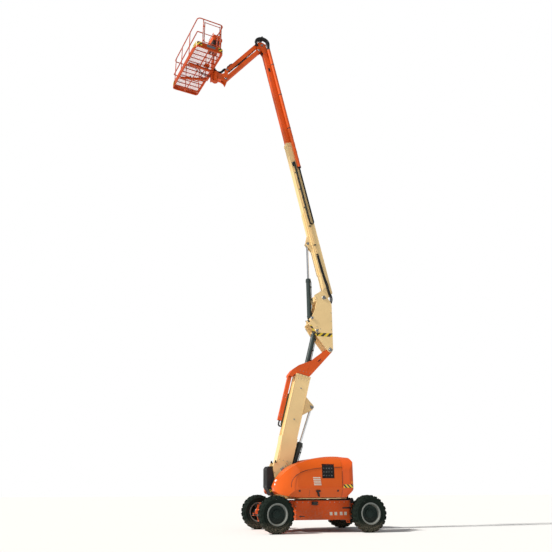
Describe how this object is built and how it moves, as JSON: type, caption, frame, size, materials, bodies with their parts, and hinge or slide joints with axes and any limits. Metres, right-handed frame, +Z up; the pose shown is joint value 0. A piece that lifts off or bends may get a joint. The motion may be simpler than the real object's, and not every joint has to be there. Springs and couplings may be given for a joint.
{
  "type": "articulating boom lift",
  "caption": "Self-propelled articulating boom lift, raised: slewing turntable, telescoping riser and main boom, levelled jib and railed work platform.",
  "frame": {"origin": "on the ground under the middle of the raised machine's box; the slewing axis stands 1.315 m behind it", "axes": "+X forward, +Y to the machine's left, +Z up"},
  "size_m": [6.0603, 2.5844, 15.8026],
  "materials": {
    "axle_paint": "gloss paint",
    "black_cover": "satin moulding",
    "chassis_paint": "gloss paint",
    "console_paint": "moulded",
    "cream_paint": "gloss paint",
    "cylinder_paint": "semi-gloss paint",
    "dark_paint": "semi-gloss paint",
    "engine_block": "as cast",
    "hood_shell": "gloss orange moulding",
    "orange_paint": "gloss paint",
    "rim_paint": "satin paint",
    "rod_chrome": "polished",
    "tank_shell": "moulded",
    "track": "matt",
    "tyre": "matt",
    "weight": "painted casting"
  },
  "bodies": {
    "chassis": {"chassis": "chassis_paint", "front_axle": "axle_paint", "rear_axle": "dark_paint", "steering_cylinder": "cylinder_paint"},
    "knuckle_left": {"knuckle_left": "axle_paint"},
    "knuckle_right": {"knuckle_right": "axle_paint"},
    "steering_rod": {"steering_rod": "rod_chrome"},
    "wheel_front_left": {"tyre_front_left": "tyre", "rim_front_left": "rim_paint"},
    "wheel_front_right": {"tyre_front_right": "tyre", "rim_front_right": "rim_paint"},
    "wheel_rear_left": {"tyre_rear_left": "tyre", "rim_rear_left": "rim_paint"},
    "wheel_rear_right": {"tyre_rear_right": "tyre", "rim_rear_right": "rim_paint"},
    "turntable": {"turntable": "cream_paint", "front_cover": "black_cover", "counterweight": "weight", "engine": "engine_block", "tanks": "tank_shell", "ground_controls": "console_paint"},
    "hood_left": {"hood_left": "hood_shell"},
    "hood_right": {"hood_right": "hood_shell"},
    "tower_base": {"tower_base": "cream_paint"},
    "tower_fly": {"tower_fly": "orange_paint"},
    "tower_hose_track": {"tower_hose_track": "track"},
    "upright": {"upright": "cream_paint"},
    "main_boom_base": {"main_boom_base": "cream_paint"},
    "main_boom_fly": {"main_boom_fly": "orange_paint"},
    "main_hose_track": {"main_hose_track": "track"},
    "jib_bracket": {"jib_bracket": "orange_paint"},
    "jib_arm": {"jib_arm": "orange_paint"},
    "jib_link": {"jib_link": "orange_paint"},
    "jib_head": {"jib_head": "orange_paint"},
    "platform": {"platform_floor": "orange_paint", "platform_rails": "orange_paint", "platform_console": "console_paint", "platform_support": "orange_paint"},
    "platform_gate": {"platform_gate": "orange_paint"},
    "tower_cylinder_barrel": {"tower_cylinder_barrel": "cylinder_paint"},
    "tower_cylinder_rod": {"tower_cylinder_rod": "rod_chrome"},
    "level_cylinder_barrel": {"level_cylinder_barrel": "cylinder_paint"},
    "level_cylinder_rod": {"level_cylinder_rod": "rod_chrome"},
    "main_cylinder_barrel": {"main_cylinder_barrel": "cylinder_paint"},
    "main_cylinder_rod": {"main_cylinder_rod": "rod_chrome"},
    "slave_cylinder_barrel": {"slave_cylinder_barrel": "cylinder_paint"},
    "slave_cylinder_rod": {"slave_cylinder_rod": "rod_chrome"},
    "jib_cylinder_barrel": {"jib_cylinder_barrel": "cylinder_paint"},
    "jib_cylinder_rod": {"jib_cylinder_rod": "rod_chrome"}
  },
  "joints": [
    {"name": "steer_left", "type": "hinge", "parent": "chassis", "child": "knuckle_left", "pos_m": [-0.07, 0.8, 0.457], "axis": [0, 0, 1], "range_deg": [-30, 30]},
    {"name": "steer_right", "type": "hinge", "parent": "chassis", "child": "knuckle_right", "pos_m": [-0.07, -0.8, 0.457], "axis": [0, 0, 1], "range_deg": [-30, 30]},
    {"name": "steering_rod_slide", "type": "slide", "parent": "chassis", "child": "steering_rod", "axis": [0, 1, 0], "range_m": [-0.0852, 0.0852]},
    {"name": "wheel_front_left_spin", "type": "hinge", "parent": "knuckle_left", "child": "wheel_front_left", "pos_m": [-0.07, 1.0575, 0.457], "axis": [0, 1, 0], "continuous": true},
    {"name": "wheel_front_right_spin", "type": "hinge", "parent": "knuckle_right", "child": "wheel_front_right", "pos_m": [-0.07, -1.0575, 0.457], "axis": [0, 1, 0], "continuous": true},
    {"name": "wheel_rear_left_spin", "type": "hinge", "parent": "chassis", "child": "wheel_rear_left", "pos_m": [-2.56, 1.0575, 0.457], "axis": [0, 1, 0], "continuous": true},
    {"name": "wheel_rear_right_spin", "type": "hinge", "parent": "chassis", "child": "wheel_rear_right", "pos_m": [-2.56, -1.0575, 0.457], "axis": [0, 1, 0], "continuous": true},
    {"name": "turntable_swing", "type": "hinge", "parent": "chassis", "child": "turntable", "pos_m": [-1.315, 0, 0.8], "axis": [0, 0, 1], "range_deg": [-180, 180]},
    {"name": "hood_left_lift", "type": "hinge", "parent": "turntable", "child": "hood_left", "pos_m": [-1.315, 0.372, 1.808], "axis": [1, 0, 0], "range_deg": [0, 55]},
    {"name": "hood_right_lift", "type": "hinge", "parent": "turntable", "child": "hood_right", "pos_m": [-1.315, -0.372, 1.808], "axis": [-1, 0, 0], "range_deg": [0, 55]},
    {"name": "tower_lift", "type": "hinge", "parent": "turntable", "child": "tower_base", "pos_m": [-0.465, 0, 1.55], "axis": [0, 1, 0], "range_deg": [-76, 0]},
    {"name": "tower_extend", "type": "slide", "parent": "tower_base", "child": "tower_fly", "axis": [-0.2402, 0, 0.9707], "range_m": [0, 1.5]},
    {"name": "tower_hose_slide", "type": "slide", "parent": "tower_base", "child": "tower_hose_track", "axis": [-0.2402, 0, 0.9707], "range_m": [0, 0.75]},
    {"name": "upright_level", "type": "hinge", "parent": "tower_fly", "child": "upright", "pos_m": [-1.95681, 0, 4.93062], "axis": [0, 1, 0], "range_deg": [0, 76]},
    {"name": "tower_cylinder_pivot", "type": "hinge", "parent": "turntable", "child": "tower_cylinder_barrel", "pos_m": [-0.585, 0, 0.95], "axis": [0, 1, 0], "range_deg": [-67.35, 0]},
    {"name": "tower_cylinder_stroke", "type": "slide", "parent": "tower_cylinder_barrel", "child": "tower_cylinder_rod", "axis": [-0.3249, 0, 0.9458], "range_m": [-0.67955, 0]},
    {"name": "level_cylinder_pivot", "type": "hinge", "parent": "upright", "child": "level_cylinder_barrel", "pos_m": [-1.5349, 0, 5.49861], "axis": [0, 1, 0], "range_deg": [-75.51, 0]},
    {"name": "level_cylinder_stroke", "type": "slide", "parent": "level_cylinder_barrel", "child": "level_cylinder_rod", "axis": [0.2426, 0, -0.9701], "range_m": [-0.8728, 0]},
    {"name": "main_lift", "type": "hinge", "parent": "upright", "child": "main_boom_base", "pos_m": [-1.78581, 0, 6.53062], "axis": [0, -1, 0], "range_deg": [-78, 0]},
    {"name": "main_cylinder_pivot", "type": "hinge", "parent": "upright", "child": "main_cylinder_barrel", "pos_m": [-1.39581, 0, 5.86062], "axis": [0, -1, 0], "range_deg": [-66.18, 0]},
    {"name": "main_cylinder_stroke", "type": "slide", "parent": "main_cylinder_barrel", "child": "main_cylinder_rod", "axis": [0.0124, 0, 0.9999], "range_m": [-0.88222, 0]},
    {"name": "main_extend", "type": "slide", "parent": "main_boom_base", "child": "main_boom_fly", "axis": [0.2267, 0, 0.974], "range_m": [-3.5, 0]},
    {"name": "main_hose_slide", "type": "slide", "parent": "main_boom_base", "child": "main_hose_track", "axis": [0.2267, 0, 0.974], "range_m": [-1.75, 0]},
    {"name": "jib_level", "type": "hinge", "parent": "main_boom_fly", "child": "jib_bracket", "pos_m": [0.18116, 0, 15.60085], "axis": [0, -1, 0], "range_deg": [0, 78]},
    {"name": "slave_cylinder_pivot", "type": "hinge", "parent": "main_boom_fly", "child": "slave_cylinder_barrel", "pos_m": [-0.21441, 0, 14.27603], "axis": [0, -1, 0], "range_deg": [-2.86, 0]},
    {"name": "slave_cylinder_stroke", "type": "slide", "parent": "slave_cylinder_barrel", "child": "slave_cylinder_rod", "axis": [0.1687, 0, 0.9857], "range_m": [-0.22957, 0]},
    {"name": "jib_lift", "type": "hinge", "parent": "jib_bracket", "child": "jib_arm", "pos_m": [0.26416, 0, 15.40385], "axis": [0, 1, 0], "range_deg": [-121, 0]},
    {"name": "jib_link_turn", "type": "hinge", "parent": "jib_bracket", "child": "jib_link", "pos_m": [0.23453, 0, 15.74256], "axis": [0, 1, 0], "range_deg": [-121, 0]},
    {"name": "head_level", "type": "hinge", "parent": "jib_arm", "child": "jib_head", "pos_m": [1.38435, 0, 14.02053], "axis": [0, 1, 0], "range_deg": [0, 121]},
    {"name": "jib_cylinder_pivot", "type": "hinge", "parent": "jib_arm", "child": "jib_cylinder_barrel", "pos_m": [0.26416, 0, 15.40385], "axis": [0, 1, 0], "range_deg": [0, 3.8]},
    {"name": "jib_cylinder_stroke", "type": "slide", "parent": "jib_cylinder_barrel", "child": "jib_cylinder_rod", "axis": [0.7222, 0, -0.6917], "range_m": [0, 0.58494]},
    {"name": "platform_rotate", "type": "hinge", "parent": "jib_head", "child": "platform", "pos_m": [1.73435, 0, 14.02053], "axis": [0, 0, 1], "range_deg": [-102.6, 77.4]},
    {"name": "gate_swing", "type": "hinge", "parent": "platform", "child": "platform_gate", "pos_m": [2.28144, 1.14184, 14.80003], "axis": [0, 0, 1], "range_deg": [0, 80]}
  ],
  "couplings": [
    {"joint": "steer_right", "follows": "steer_left", "ratio": 1},
    {"joint": "steering_rod_slide", "follows": "steer_left", "m_per_rad": 0.16234},
    {"joint": "tower_hose_slide", "follows": "tower_extend", "ratio": 0.5},
    {"joint": "upright_level", "follows": "tower_lift", "ratio": -1},
    {"joint": "tower_cylinder_pivot", "follows": "tower_lift", "ratio": 0.87962},
    {"joint": "tower_cylinder_stroke", "follows": "tower_lift", "m_per_rad": 0.5108},
    {"joint": "level_cylinder_pivot", "follows": "tower_lift", "ratio": 0.98704},
    {"joint": "level_cylinder_stroke", "follows": "tower_lift", "m_per_rad": 0.65649},
    {"joint": "main_cylinder_pivot", "follows": "main_lift", "ratio": 0.842},
    {"joint": "main_cylinder_stroke", "follows": "main_lift", "m_per_rad": 0.64658},
    {"joint": "main_hose_slide", "follows": "main_extend", "ratio": 0.5},
    {"joint": "jib_level", "follows": "main_lift", "ratio": -1},
    {"joint": "slave_cylinder_pivot", "follows": "main_lift", "ratio": 0.030218},
    {"joint": "slave_cylinder_stroke", "follows": "main_lift", "m_per_rad": 0.16716},
    {"joint": "jib_link_turn", "follows": "jib_lift", "ratio": 1},
    {"joint": "head_level", "follows": "jib_lift", "ratio": -1},
    {"joint": "jib_cylinder_pivot", "follows": "jib_lift", "ratio": -0.027243},
    {"joint": "jib_cylinder_stroke", "follows": "jib_lift", "m_per_rad": -0.27603}
  ]
}
